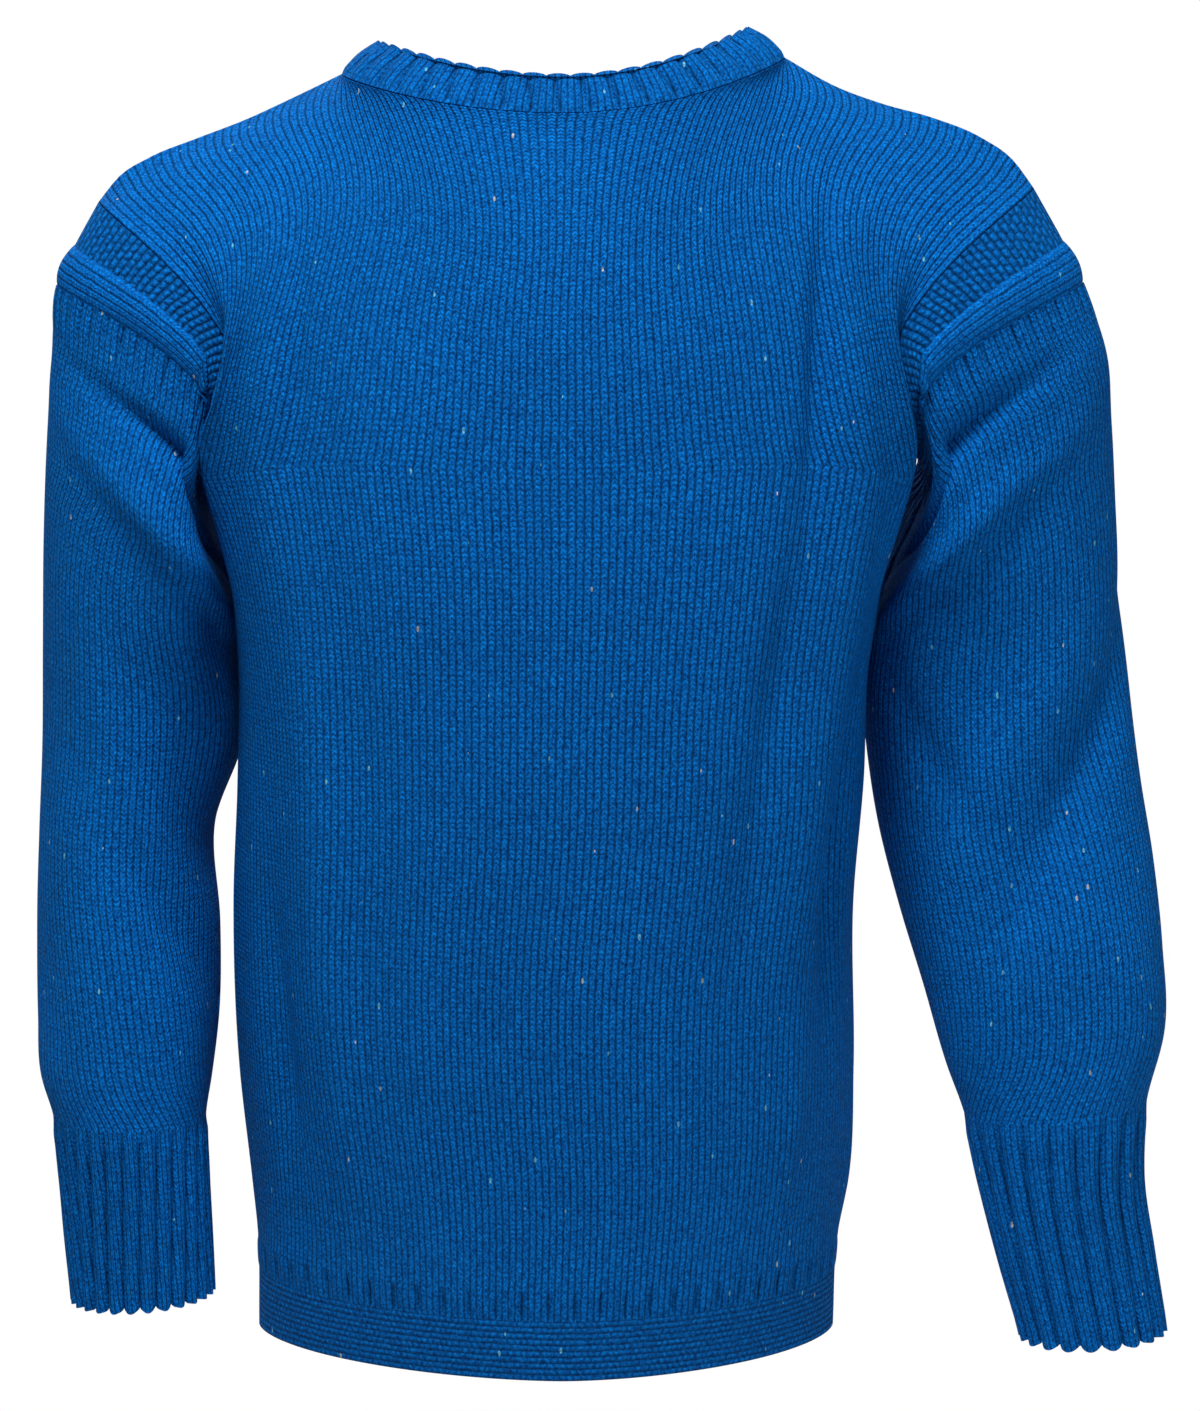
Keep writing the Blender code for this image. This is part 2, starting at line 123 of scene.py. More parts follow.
BODY_COLUMNS = ("height", "left", "right", "front", "back", "square")
BODY_RINGS = (
    (-0.667, 0.163, 0.143, 0.104, 0.098, 1.7),
    (-0.619, 0.163, 0.145, 0.107, 0.100, 1.8),
    (-0.586, 0.166, 0.151, 0.110, 0.101, 1.9),
    (-0.525, 0.172, 0.153, 0.114, 0.102, 2.0),
    (-0.436, 0.174, 0.152, 0.117, 0.102, 2.1),
    (-0.370, 0.171, 0.157, 0.120, 0.102, 2.2),
    (-0.310, 0.170, 0.159, 0.122, 0.104, 2.3),
    (-0.250, 0.1745, 0.1695, 0.124, 0.110, 2.4),
    (-0.200, 0.171, 0.172, 0.124, 0.116, 2.4),
)
NECK_COLUMNS = ("wide", "front", "back", "middle", "left", "right")
NECK_EDGES = (
    (0.1130, 0.0880, 0.0840, -0.0200, -0.0030, 0.0055),
    (0.1040, 0.0835, 0.0800, -0.0120, 0.0065, 0.0145),
    (0.0940, 0.0790, 0.0760, -0.0042, 0.0130, 0.0200),
)
SHOULDER_COLUMNS = ("along", "left", "right")
SHOULDER_LINE = (
    (0.00, -0.0030, 0.0055),
    (0.20, -0.0150, -0.0090),
    (0.40, -0.0265, -0.0185),
    (0.60, -0.0360, -0.0255),
    (0.80, -0.0460, -0.0360),
    (0.92, -0.0555, -0.0470),
    (1.00, -0.0680, -0.0610),
)
ARM_COLUMNS = ("outer_out", "outer_height", "inner_out", "inner_height",
               "front", "back", "middle", "inset")
ARM_RINGS = {
    "left": (
        (0.2390, -0.0680, 0.1710, -0.2000, 0.064, 0.066, 0.000, 0.034),
        (0.2515, -0.0900, 0.1820, -0.1950, 0.060, 0.063, 0.000, 0.037),
        (0.2610, -0.1110, 0.1905, -0.2100, 0.056, 0.060, 0.000, 0.043),
        (0.2650, -0.1500, 0.1855, -0.2370, 0.060, 0.062, 0.003, 0.032),
        (0.2695, -0.1950, 0.1775, -0.2660, 0.065, 0.064, 0.012, 0.016),
        (0.2735, -0.2500, 0.1735, -0.3010, 0.068, 0.066, 0.024, 0.006),
        (0.2755, -0.3030, 0.1705, -0.3280, 0.066, 0.064, 0.030, 0.002),
        (0.2765, -0.3480, 0.1715, -0.3540, 0.064, 0.062, 0.030, 0.000),
        (0.2785, -0.3990, 0.1840, -0.4030, 0.061, 0.059, 0.024, 0.000),
        (0.2800, -0.4500, 0.1845, -0.4520, 0.057, 0.055, 0.014, 0.000),
        (0.2790, -0.4980, 0.1855, -0.5000, 0.053, 0.051, 0.004, 0.000),
        (0.2770, -0.5280, 0.1890, -0.5300, 0.048, 0.047, -0.003, 0.000),
        (0.2705, -0.5480, 0.1920, -0.5500, 0.043, 0.042, -0.008, 0.000),
        (0.2660, -0.5800, 0.1915, -0.5810, 0.038, 0.037, -0.014, 0.000),
        (0.2630, -0.6120, 0.1900, -0.6110, 0.036, 0.035, -0.019, 0.000),
        (0.2595, -0.6450, 0.1885, -0.6410, 0.036, 0.035, -0.024, 0.000),
    ),
    "right": (
        (0.2420, -0.0610, 0.1720, -0.2000, 0.064, 0.066, 0.000, 0.036),
        (0.2575, -0.0880, 0.1835, -0.1950, 0.060, 0.063, 0.000, 0.039),
        (0.2680, -0.1100, 0.1920, -0.2100, 0.056, 0.060, 0.000, 0.045),
        (0.2805, -0.1430, 0.1845, -0.2340, 0.059, 0.060, 0.003, 0.035),
        (0.2860, -0.1850, 0.1735, -0.2600, 0.061, 0.060, 0.015, 0.018),
        (0.2900, -0.2330, 0.1649, -0.2870, 0.060, 0.058, 0.024, 0.007),
        (0.2950, -0.2830, 0.1594, -0.3180, 0.056, 0.054, 0.030, 0.000),
        (0.3000, -0.3300, 0.1620, -0.3540, 0.052, 0.050, 0.030, 0.000),
        (0.3055, -0.3730, 0.1685, -0.3970, 0.049, 0.047, 0.024, 0.000),
        (0.3120, -0.4150, 0.1795, -0.4400, 0.048, 0.046, 0.014, 0.000),
        (0.3165, -0.4600, 0.1925, -0.4820, 0.047, 0.045, 0.004, 0.000),
        (0.3175, -0.5050, 0.2045, -0.5230, 0.045, 0.043, -0.003, 0.000),
        (0.3085, -0.5400, 0.2140, -0.5490, 0.041, 0.039, -0.008, 0.000),
        (0.3055, -0.5800, 0.2225, -0.5850, 0.036, 0.035, -0.014, 0.000),
        (0.3110, -0.6200, 0.2335, -0.6270, 0.034, 0.033, -0.019, 0.000),
        (0.3180, -0.6620, 0.2450, -0.6660, 0.034, 0.033, -0.024, 0.000),
    ),
}
UNDERARM_INSET = 0.3
# rows of the arm's table are named by number: the first is the edge of the body
BODY_EDGE = 0

# Folds: place across (-1 left seam to 1 right seam, or the turn round an arm), height of the
# middle, lean of the line (across for each metre up), half width, half length, and how far it
# stands out. A trough has a minus sign.
FOLD_COLUMNS = ("across", "height", "lean", "width", "length", "out")
BODY_FOLDS = {
    "front": (
        (-0.70, -0.185, 0.05, 0.09, 0.080, 0.011),
        (0.68, -0.190, -0.05, 0.09, 0.080, 0.010),
        (-0.56, -0.420, -0.25, 0.08, 0.170, 0.006),
        (0.66, -0.330, 0.45, 0.09, 0.130, 0.007),
        (0.560, -0.140, 0.10, 0.035, 0.070, -0.0065),
        (0.470, -0.330, 0.50, 0.050, 0.110, -0.0045),
        (0.800, -0.400, 0.30, 0.060, 0.080, -0.0100),
        (-0.580, -0.130, 0.15, 0.030, 0.060, -0.0025),
        (-0.730, -0.500, -0.20, 0.060, 0.090, -0.0070),
        (-0.420, -0.360, -0.30, 0.060, 0.120, -0.0025),
        (0.620, -0.560, 0.20, 0.050, 0.070, 0.0030),
        (-0.850, -0.180, 0.00, 0.080, 0.070, 0.0230),
        (0.840, -0.180, 0.00, 0.080, 0.070, 0.0180),
        (-0.300, -0.560, -0.20, 0.080, 0.080, 0.0020),
        (0.250, -0.500, 0.25, 0.100, 0.120, 0.0020),
    ),
    "back": (
        (-0.62, -0.240, 0.12, 0.10, 0.080, 0.006),
        (0.60, -0.230, -0.08, 0.10, 0.080, 0.006),
        (0.50, -0.430, 0.30, 0.09, 0.150, 0.006),
        (-0.60, -0.380, -0.40, 0.09, 0.120, 0.005),
        (0.320, -0.400, 0.20, 0.050, 0.130, -0.0035),
        (-0.420, -0.470, -0.30, 0.060, 0.110, -0.0040),
        (0.660, -0.520, 0.20, 0.050, 0.080, -0.0035),
        (-0.100, -0.540, -0.10, 0.090, 0.090, 0.0030),
        (0.480, -0.140, 0.10, 0.040, 0.060, -0.0030),
        (-0.500, -0.150, 0.10, 0.040, 0.070, -0.0035),
    ),
}


def smooth_rows(places, rows, at):
    """Read a table smoothly between its rows: a cubic through every column."""
    places = np.asarray(places, dtype=float)
    rows = np.asarray(rows, dtype=float)
    at = np.clip(np.atleast_1d(at), places[0], places[-1])
    slopes = np.gradient(rows, places, axis=0)
    below = np.clip(np.searchsorted(places, at, side="right") - 1, 0, len(places) - 2)
    step = places[below + 1] - places[below]
    share = ((at - places[below]) / step)[:, None]
    rise = step[:, None]
    start = rows[below] * (1 + 2 * share) * (1 - share) ** 2
    end = rows[below + 1] * share ** 2 * (3 - 2 * share)
    leave = slopes[below] * rise * share * (1 - share) ** 2
    arrive = slopes[below + 1] * rise * share ** 2 * (share - 1)
    return start + end + leave + arrive


def quarter_points(wide, deep, square, shares):
    """Points of a quarter ring from its middle (0, deep) to its side (wide, 0), by length."""
    angles = np.linspace(0.0, np.pi / 2, 181)
    power = 2.0 / square
    out = wide * np.abs(np.sin(angles)) ** power
    reach = deep * np.abs(np.cos(angles)).round(9) ** power
    covered = np.concatenate([[0.0], np.cumsum(np.hypot(np.diff(out), np.diff(reach)))])
    covered = covered / covered[-1]
    return np.interp(shares, covered, out), np.interp(shares, covered, reach)


def body_row(height, across, facing):
    """Points of a level row of the body; facing is "front" or "back"."""
    ring = dict(zip(BODY_COLUMNS, smooth_rows([row[0] for row in BODY_RINGS],
                                              BODY_RINGS, height)[0]))
    turn = -1.0 if facing == "front" else 1.0
    left = quarter_points(ring["left"], ring[facing], ring["square"], np.abs(across))
    right = quarter_points(ring["right"], ring[facing], ring["square"], np.abs(across))
    out, reach = np.where(across < 0, left, right)
    return np.stack([np.sign(across) * out, turn * reach, np.full(len(across), height)], axis=1)


def neck_row(edge, around, facing):
    """Points of half the neck, around from -1 at the left side to 1 at the right side."""
    table = smooth_rows(range(len(NECK_EDGES)), NECK_EDGES, edge)[0]
    size = dict(zip(NECK_COLUMNS, table))
    turn = -1.0 if facing == "front" else 1.0
    out, reach = quarter_points(size["wide"], size[facing], 2.0, np.abs(around))
    side = np.where(around < 0, size["left"], size["right"])
    height = size["middle"] + (side - size["middle"]) * (out / size["wide"]) ** 2
    return np.stack([np.sign(around) * out, turn * reach, height], axis=1)


def arm_ring(side, row, turns):
    """Points round an arm; turns go 0 under the arm, 0.25 front, 0.5 outside, 0.75 back."""
    ring = dict(zip(ARM_COLUMNS, row))
    angle = 2 * np.pi * np.asarray(turns)
    sign = -1.0 if side == "left" else 1.0
    middle_out = (ring["outer_out"] + ring["inner_out"]) / 2
    middle_height = (ring["outer_height"] + ring["inner_height"]) / 2
    half_out = (ring["inner_out"] - ring["outer_out"]) / 2
    half_height = (ring["inner_height"] - ring["outer_height"]) / 2
    reach = np.where(np.sin(angle) > 0, ring["front"], ring["back"])
    inset = ring["inset"] * np.sin(angle) ** 2
    inset = inset * (1 - (1 - UNDERARM_INSET) * np.clip(np.cos(angle), 0, 1))
    out = middle_out + half_out * np.cos(angle) - inset
    return np.stack([sign * out, ring["middle"] - reach * np.sin(angle),
                     middle_height + half_height * np.cos(angle)], axis=1)


def top_row(across, facing):
    """The body's top row: shoulder seam, neck edge, shoulder seam."""
    points = neck_row(0, np.clip(across / NECK_SHARE, -1, 1), facing)
    neck_wide = NECK_EDGES[0][0]
    lines = smooth_rows([row[0] for row in SHOULDER_LINE], SHOULDER_LINE,
                        (np.abs(across) - NECK_SHARE) / (1 - NECK_SHARE))
    for place in np.flatnonzero(np.abs(across) > NECK_SHARE):
        side = "left" if across[place] < 0 else "right"
        line = dict(zip(SHOULDER_COLUMNS, lines[place]))
        out = neck_wide + line["along"] * (ARM_RINGS[side][BODY_EDGE][0] - neck_wide)
        points[place] = (np.sign(across[place]) * out, 0.0, line[side])
    return points


def fold_height(folds, across, height):
    """How far the folds push points out, from their places across and their heights."""
    out = np.zeros(np.shape(across))
    for row in folds:
        fold = dict(zip(FOLD_COLUMNS, row))
        line = fold["across"] + fold["lean"] * (height - fold["height"])
        out = out + fold["out"] * np.exp(-((across - line) / fold["width"]) ** 2
                                         - ((height - fold["height"]) / fold["length"]) ** 2)
    return out


def grid_normals(grid, closes, outward):
    """Unit normals at the points of a grid."""
    after = np.roll(grid, -1, axis=1) if closes else grid[:, 1:]
    here = grid if closes else grid[:, :-1]
    faces = np.cross(after[1:] - here[:-1], here[1:] - after[:-1]) * outward
    sums = np.zeros_like(grid)
    for up in (0, 1):
        rows = slice(up, up + len(faces))
        if closes:
            sums[rows] += faces + np.roll(faces, 1, axis=1)
        else:
            sums[rows, :-1] += faces
            sums[rows, 1:] += faces
    return sums / np.linalg.norm(sums, axis=2, keepdims=True)


def stitch_counts(grid, closes, wales=None, course=COURSE):
    """Wale and course numbers at the points of a grid, from its lengths.

    wales is the number across each row; without it the wales keep their width, counted both
    ways from the middle of the row, and some are lost at the seam under the arm.
    """
    if closes:
        grid = np.concatenate([grid, grid[:, :1]], axis=1)
    along = np.linalg.norm(np.diff(grid, axis=1), axis=2)
    along = np.concatenate([np.zeros((len(grid), 1)), np.cumsum(along, axis=1)], axis=1)
    up = np.linalg.norm(np.diff(grid, axis=0), axis=2).mean(axis=1)
    up = np.concatenate([[0.0], np.cumsum(up)])
    if wales is None:
        across = (along - along[:, -1:] / 2) / WALE
    else:
        across = (along / along[:, -1:] - 0.5) * wales
    return np.stack([across, np.broadcast_to(up[:, None] / course, across.shape)], axis=2)


def knitted_shell(name, grid, normals, closes, outward, stitches, finish, raised=None):
    """A closed shell of knitting on a grid.

    closes joins the grid's last column to its first, outward is -1 where its faces would point in,
    and raised lifts the outer side's points. The points of low grooves are marked for the wool to
    darken, as painted shade.
    """
    rows, columns = grid.shape[:2]
    lift = CLOTH / 2 if raised is None else (CLOTH / 2 + raised)[:, :, None]
    points = np.concatenate([(grid + normals * lift).reshape(-1, 3),
                             (grid - normals * CLOTH / 2).reshape(-1, 3)])
    inside = rows * columns
    last = columns if closes else columns - 1
    row, column = np.meshgrid(np.arange(rows - 1), np.arange(last), indexing="ij")
    here = (row * columns + column).ravel()
    beside = (row * columns + (column + 1) % columns).ravel()
    outer = np.stack([here, beside, beside + columns, here + columns], axis=1)
    counts = stitches.reshape(-1, 2)
    wide = stitches.shape[1]
    flat = (row * wide + column).ravel()
    outer_counts = counts[np.stack([flat, flat + 1, flat + wide + 1, flat + wide], axis=1)]
    inner = outer[:, ::-1] + inside
    inner_counts = outer_counts[:, ::-1]
    # each edge is closed by a rim from its start points to its end points; place and step say
    # where their counts are
    around = np.arange(last)
    upward = np.arange(rows - 1)
    edges = []
    for edge, flip in ((0, False), (rows - 1, True)):
        start = edge * columns + around
        end = edge * columns + (around + 1) % columns
        edges.append((start, end, edge * wide + around, 1, flip))
    if not closes:
        for edge, flip in ((0, True), (columns - 1, False)):
            start = upward * columns + edge
            edges.append((start, start + columns, upward * wide + edge, wide, flip))
    rim = []
    rim_counts = []
    for start, end, place, step, flip in edges:
        pair = counts[np.stack([place, place + step], axis=1)]
        if flip:
            start, end, pair = end, start, pair[:, ::-1]
        rim.append(np.stack([end, start, start + inside, end + inside], axis=1))
        rim_counts.append(pair[:, [1, 0, 0, 1]])
    faces = np.concatenate([outer, inner] + rim)
    face_counts = np.concatenate([outer_counts, inner_counts] + rim_counts)
    if outward < 0:
        faces = faces[:, ::-1]
        face_counts = face_counts[:, ::-1]
    mesh = bpy.data.meshes.new(name)
    mesh.from_pydata(points.tolist(), [], faces.tolist())
    knit = mesh.uv_layers.new(name="Stitches")
    knit.data.foreach_set("uv", face_counts.reshape(-1).astype(np.float32))
    # mark for painted shade: the wool darkens its colour where the grooves are low
    painted_groove_shade = np.zeros(2 * inside, dtype=np.float32)
    if raised is not None:
        painted_groove_shade[:inside] = np.clip(-raised / max(np.abs(raised).max(), 1e-6), 0, 1).ravel()
    mesh.attributes.new("PaintedGrooveShade", "FLOAT", "POINT").data.foreach_set("value", painted_groove_shade)
    mesh.update()
    mesh.shade_smooth()
    mesh.set_sharp_from_angle(angle=np.radians(50))
    mesh.materials.append(finish)
    shell = bpy.data.objects.new(name, mesh)
    bpy.context.scene.collection.objects.link(shell)
    return shell


class Formula:
    """A number in a material's nodes, so that patterns read as formulas."""

    def __init__(self, tree, socket):
        self.tree = tree
        self.socket = socket

    def math(self, operation, *others):
        """A Math node on this number and the others."""
        node = self.tree.nodes.new("ShaderNodeMath")
        node.operation = operation
        for slot, value in zip(node.inputs, (self, *others)):
            if isinstance(value, Formula):
                self.tree.links.new(value.socket, slot)
            else:
                slot.default_value = value
        return Formula(self.tree, node.outputs[0])

    def node(self, kind, settings, values, output=0):
        """Any other node: its settings first, then its sockets by name or number."""
        node = self.tree.nodes.new(kind)
        for setting, value in settings.items():
            setattr(node, setting, value)
        for slot, value in values.items():
            if isinstance(value, Formula):
                self.tree.links.new(value.socket, node.inputs[slot])
            else:
                node.inputs[slot].default_value = value
        return Formula(self.tree, node.outputs[output])

    def __add__(self, other):
        return self.math("ADD", other)

    def __radd__(self, other):
        return self.math("ADD", other)

    def __sub__(self, other):
        return self.math("SUBTRACT", other)

    def __rsub__(self, other):
        return (self * -1.0).math("ADD", other)

    def __mul__(self, other):
        return self.math("MULTIPLY", other)

    def __rmul__(self, other):
        return self.math("MULTIPLY", other)

    def __pow__(self, other):
        return self.math("POWER", other)

    def __lt__(self, other):
        return self.math("LESS_THAN", other)


def stocking_stitch(wale, course):
    """Height of stocking stitch, 0 to 1: upright cords of slanted loops, two to a wale."""
    leg = (wale.math("FRACT") - 0.5).math("ABSOLUTE")
    loop = (course + leg * 1.3).math("FRACT") * 2.0 - 1.0
    plump = 1.0 - loop * loop
    cord = 1.0 - (leg * 2.0) ** 3.0
    middle = 1.0 - (leg * 7.0).math("MINIMUM", 1.0)
    return cord * (0.62 + plump * 0.38) * (1.0 - middle * 0.30)


def wool(name, pattern, relief, cords, painted_shade_factor=1.0):
    """Heathered blue wool knitted in a pattern.

    relief is the stitches' depth in metres, cords is how much darker the colour is painted between
    the stitches than on top of them, as painted shade in the hollows, and tone darkens the whole
    piece as painted shade.
    """
    material = bpy.data.materials.new(name)
    material.use_nodes = True
    tree = material.node_tree
    shader = tree.nodes["Principled BSDF"]
    # a formula with no number yet, only to make the first nodes with
    start = Formula(tree, None)
    stitches = start.node("ShaderNodeUVMap", {"uv_map": "Stitches"}, {})
    wale = start.node("ShaderNodeSeparateXYZ", {}, {0: stitches}, output="X")
    course = start.node("ShaderNodeSeparateXYZ", {}, {0: stitches}, output="Y")
    place = start.node("ShaderNodeTexCoord", {}, {}, output="Object")
    # stitches are never quite even: the yarn wanders by a small part of a stitch
    wander = start.node("ShaderNodeTexNoise", {}, {"Vector": stitches, "Scale": 0.45,
                                                   "Detail": 1.0})
    height = pattern(wale + (wander - 0.5) * 0.30, course + (wander - 0.5) * 0.55)

    # heather: light and dark fibres in every stitch, and a slow drift of shade over the cloth
    fibres = start.node("ShaderNodeTexNoise", {}, {"Vector": place, "Scale": 620.0,
                                                   "Detail": 3.0, "Roughness": 0.75})
    drift = start.node("ShaderNodeTexNoise", {}, {"Vector": place, "Scale": 14.0, "Detail": 2.0})
    painted_groove_shade = start.node("ShaderNodeAttribute", {"attribute_name": "PaintedGrooveShade"}, {}, output="Fac")
    # painted shade: the colour is darker between the stitches than on top of them
    shade = (1.25 - cords + height * cords) * (fibres * 2.6 - 0.30) * (0.85 + drift * 0.30)
    # painted shade: the marked grooves of ribs and bands are darkened
    shade = shade * (1.0 - painted_groove_shade * 0.55) * painted_shade_factor
    deep = start.node("ShaderNodeMix", {"data_type": "RGBA"},
                      {"Factor": fibres * 1.6 - 0.3, "A": (0.0004, 0.060, 0.330, 1.0),
                       "B": (0.0010, 0.165, 0.520, 1.0)}, output="Result")
    colour = start.node("ShaderNodeVectorMath", {"operation": "SCALE"},
                        {0: deep, "Scale": shade})

    # flecks: a few short pale fibres, some turquoise and very few of another colour
    stretched = start.node("ShaderNodeMapping", {}, {"Vector": place, "Rotation": (0.5, 0.4, 0.6),
                                                     "Scale": (1.0, 1.0, 0.42)})
    cell = {"Vector": stretched, "Scale": 190.0, "Randomness": 1.0}
    away = start.node("ShaderNodeTexVoronoi", {}, cell, output="Distance")
    lot = start.node("ShaderNodeTexVoronoi", {}, cell, output="Color")
    pick = start.node("ShaderNodeSeparateXYZ", {}, {0: lot}, output="X")
    kind = start.node("ShaderNodeSeparateXYZ", {}, {0: lot}, output="Y")
    fleck = (away < 0.13) * (pick < 0.10)
    fleck_colour = start.node("ShaderNodeMix", {"data_type": "RGBA"},
                              {"Factor": kind < 0.75, "A": (0.62, 0.60, 0.52, 1.0),
                               "B": (0.16, 0.52, 0.66, 1.0)}, output="Result")
    flecked = start.node("ShaderNodeMix", {"data_type": "RGBA"},
                         {"Factor": fleck * 0.75, "A": colour, "B": fleck_colour},
                         output="Result")
    tree.links.new(flecked.socket, shader.inputs["Base Color"])

    fuzz = height + fibres * 0.35
    bump = start.node("ShaderNodeBump", {}, {"Height": fuzz, "Distance": relief,
                                             "Strength": 1.0})
    tree.links.new(bump.socket, shader.inputs["Normal"])
    shader.inputs["Roughness"].default_value = 0.88
    shader.inputs["Specular IOR Level"].default_value = 0.06
    shader.inputs["Sheen Weight"].default_value = 0.12
    shader.inputs["Sheen Roughness"].default_value = 0.45
    shader.inputs["Sheen Tint"].default_value = (0.0, 0.30, 0.75, 1.0)
    return material


def across_shares():
    """Where the body's columns stand, from the left seam to the right seam."""
    left = np.linspace(-1, -NECK_SHARE, COLUMNS_PER_SHOULDER + 1)
    neck = np.linspace(-NECK_SHARE, NECK_SHARE, COLUMNS_AT_NECK + 1)
    return np.concatenate([left, neck[1:-1], -left[::-1]])


def body_panel(facing):
    """One half of the body from the rib to the top row; the ends follow the armholes."""
    across = across_shares()
    rows = [body_row(height, across, facing)
            for height in np.linspace(RIB_TOP, PIT_HEIGHT, ROWS_BELOW_PIT + 1)]
    base = rows[-1]
    top = top_row(across, facing)
    roundness = np.radians(np.interp(np.abs(across), [0.0, NECK_SHARE, 1.0], [50, 75, 90]))
    pull = (np.clip(np.abs(across) - PULL_FROM, 0, 1) / (1 - PULL_FROM)) ** 2
    for share in np.linspace(0, 1, ROWS_OVER_PIT + 1)[1:]:
        rise = share ** 0.8
        level = (1 - np.cos(roundness * rise)) / (1 - np.cos(roundness))
        upright = np.sin(roundness * rise) / np.sin(roundness)
        row = base + (top - base) * np.stack([level, level, upright], axis=1)
        turn = share / 2 if facing == "front" else 1 - share / 2
        for column, side in ((0, "left"), (-1, "right")):
            armhole = arm_ring(side, ARM_RINGS[side][BODY_EDGE], [turn])[0]
            half = (across < 0) if side == "left" else (across > 0)
            row = row + (pull * half)[:, None] * (armhole - row[column])
        rows.append(row)
    soft = np.array(rows)
    for _ in range(SOFTENING):
        soft[1:-1, 1:-1] = (soft[1:-1, :-2] + soft[1:-1, 2:] + soft[:-2, 1:-1]
                            + soft[2:, 1:-1]) / 4
    return soft


body_wool = wool("body_wool", stocking_stitch, 0.0014, 0.80)
for facing, turn in (("front", 1), ("back", -1)):
    grid = body_panel(facing)
    across = np.broadcast_to(across_shares(), grid.shape[:2])
    height = grid[:, :, 2]
    from_top = np.clip(np.arange(len(grid))[::-1] / (0.4 * ROWS_OVER_PIT), 0, 1)
    fade = np.clip((1 - np.abs(across)) / SEAM_FADE, 0, 1)
    fade = fade * np.clip((height - RIB_TOP) / RIB_FADE, 0, 1) * from_top[:, None]
    push = (fold_height(BODY_FOLDS[facing], across, height) * fade)[:, :, None]
    grid = grid + push * grid_normals(grid, False, turn)
    panel = knitted_shell("body_" + facing + "_knit", grid, grid_normals(grid, False, turn),
                          False, turn, stitch_counts(grid, False, wales=BODY_WALES),
                          body_wool)
    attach(panel, "root")
    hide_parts("body_" + facing)


# ---- Hem: ribs and garter welts ------------------------------------------------------------------
# Below the body a narrow two-and-two rib, then a welt of garter stitch on the front and on the
# back. The two welts are knitted apart and left open at the sides, as short vents.
HEM_HEIGHT, WELT_TOP = -0.667, -0.635
HEM_RIBS = 30
HEM_RIB_DEPTH = 0.0018
HEM_COLUMNS = np.linspace(-1, 1, HEM_RIBS * 10 + 1)
HEM_ROWS = 8
WELT_WALES = 116
WELT_COLUMNS = np.linspace(-1, 1, 161)
WELT_ROWS = 12
GARTER_COURSE = 0.00160
WALES_PER_RIB = 4


def garter_stitch(wale, course):
    """Height of garter stitch, 0 to 1: level ridges of small bumps, offset from row to row."""
    ridge = (course * 0.5).math("FRACT") * 2.0 - 1.0
    row = (course * 0.5).math("FLOOR")
    bump = (wale + row * 0.5).math("FRACT") * 2.0 - 1.0
    return (1.0 - ridge * ridge) * (0.45 + (1.0 - bump * bump) * 0.55)


def rib_heights(count, columns, closes, depth, skew=None):
    """Height of rounded ribs with narrow grooves at each column of a row.

    skew moves each row's ribs along by a share of the whole width, so that they lean.
    """
    places = np.arange(columns) / (columns if closes else columns - 1)
    if skew is not None:
        places = places[None, :] + skew[:, None]
    wave = np.abs(np.cos(np.pi * places * count))
    return depth * (wave ** 0.6 - 0.6)


# the ribs and welts are the body's wool painted darker, as painted shade
rib_wool = wool("rib_wool", stocking_stitch, 0.0011, 0.80, painted_shade_factor=0.90)
welt_wool = wool("welt_wool", garter_stitch, 0.0012, 0.85, painted_shade_factor=0.80)
for facing, turn in (("front", 1), ("back", -1)):
    grid = np.array([body_row(height, HEM_COLUMNS, facing)
                     for height in np.linspace(WELT_TOP, RIB_TOP, HEM_ROWS + 1)])
    raised = np.tile(rib_heights(HEM_RIBS, len(HEM_COLUMNS), False, HEM_RIB_DEPTH),
                     (len(grid), 1))
    raised = raised * np.sin(np.linspace(0, np.pi, len(grid)))[:, None] ** 0.5
    rib = knitted_shell("hem_rib_" + facing + "_knit", grid, grid_normals(grid, False, turn),
                        False, turn,
                        stitch_counts(grid, False, wales=WALES_PER_RIB * HEM_RIBS), rib_wool,
                        raised)
    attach(rib, "root")
    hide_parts("hem_rib_" + facing)

    grid = np.array([body_row(height, WELT_COLUMNS, facing)
                     for height in np.linspace(HEM_HEIGHT, WELT_TOP, WELT_ROWS + 1)])
    welt = knitted_shell("welt_" + facing + "_knit", grid, grid_normals(grid, False, turn),
                         False, turn,
                         stitch_counts(grid, False, wales=WELT_WALES, course=GARTER_COURSE),
                         welt_wool)
    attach(welt, "root")
    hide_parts("welt_" + facing)


# ---- Armholes: garter panels and raised bands ----------------------------------------------------
# Round each armhole a strip of garter stitch, its ridges across the strip, then a plump raised
# band of five plain wales that runs along the armhole and carries the sleeve.
GARTER_EDGE, BAND_EDGE = 1, 2
ROUND_ARM = 2 * ROWS_OVER_PIT
GARTER_RIDGES = 100
GARTER_ROWS = 10
BAND_HEIGHT = 0.0026
BAND_COURSES = 168
BAND_ROWS = 12


def arm_tube(side, first, last, rows_between, columns):
    """Rings of an arm between two rows of its table."""
    table = np.array(ARM_RINGS[side])
    middles = (table[:, 0:2] + table[:, 2:4]) / 2
    along = np.concatenate([[0], np.cumsum(np.linalg.norm(np.diff(middles, axis=0), axis=1))])
    places = np.linspace(along[first], along[last], rows_between + 1)
    if last <= BAND_EDGE:
        places = np.interp(np.linspace(first, last, rows_between + 1), range(len(along)), along)
    turns = np.arange(columns) / columns
    return np.array([arm_ring(side, row, turns) for row in smooth_rows(along, table, places)])


def along_armhole(stitches):
    """The counts turned a quarter, for knitting whose rows run across a strip."""
    return stitches[:, :, ::-1] * np.array([COURSE / WALE, 1.0])
